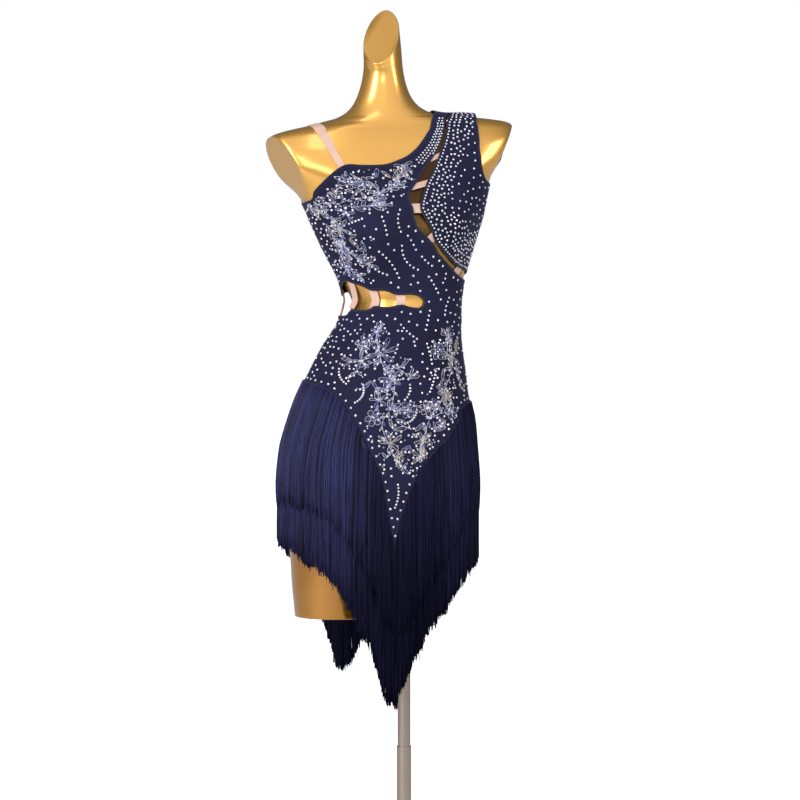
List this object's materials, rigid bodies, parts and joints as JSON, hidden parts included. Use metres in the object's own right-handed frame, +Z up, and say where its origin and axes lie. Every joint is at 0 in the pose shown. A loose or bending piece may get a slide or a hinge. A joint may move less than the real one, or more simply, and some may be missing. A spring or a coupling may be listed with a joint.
{
  "type": "salsa dance dress on a limbless dress form with a telescopic stand",
  "caption": "One-shoulder dance dress with a side slit, waist opening and two-layer fringe, worn by a limbless dress form on a height-adjustable stand.",
  "frame": {"origin": "centre of the base plate's underside, on the floor under the pole", "axes": "+Z up along the pole, the form faces -Y, +X is to the right of someone who looks at the dress's front"},
  "size_m": [0.4279, 0.35, 1.5984],
  "materials": {
    "velvet": "navy stretch cloth",
    "fringe": "navy rayon fringe",
    "elastic": "nude woven elastic",
    "gold": "glossy gold lacquer",
    "steel": "brushed",
    "paint": "satin silver paint"
  },
  "bodies": {
    "stand": {"base_plate": "paint", "lower_tube": "steel"},
    "dressed_form": {"form": "gold", "upper_tube": "steel", "front_panel": "velvet", "shoulder_panel": "velvet", "back_panel": "velvet", "shoulder_elastic": "elastic", "arm_elastic": "elastic", "slit_elastic_1": "elastic", "slit_elastic_2": "elastic", "slit_elastic_3": "elastic", "slit_elastic_4": "elastic", "slit_elastic_5": "elastic", "waist_elastic_1": "elastic", "waist_elastic_2": "elastic", "waist_elastic_3": "elastic", "waist_back_elastic": "elastic", "fringe_front_left_over": "fringe", "fringe_front_left_under": "fringe", "fringe_front_right_over": "fringe", "fringe_front_right_under": "fringe", "fringe_back_left_over": "fringe", "fringe_back_left_under": "fringe", "fringe_back_right_over": "fringe", "fringe_back_right_under": "fringe"}
  },
  "joints": [
    {"name": "height", "type": "slide", "parent": "stand", "child": "dressed_form", "axis": [0, 0, 1], "range_m": [-0.1, 0.2]}
  ]
}
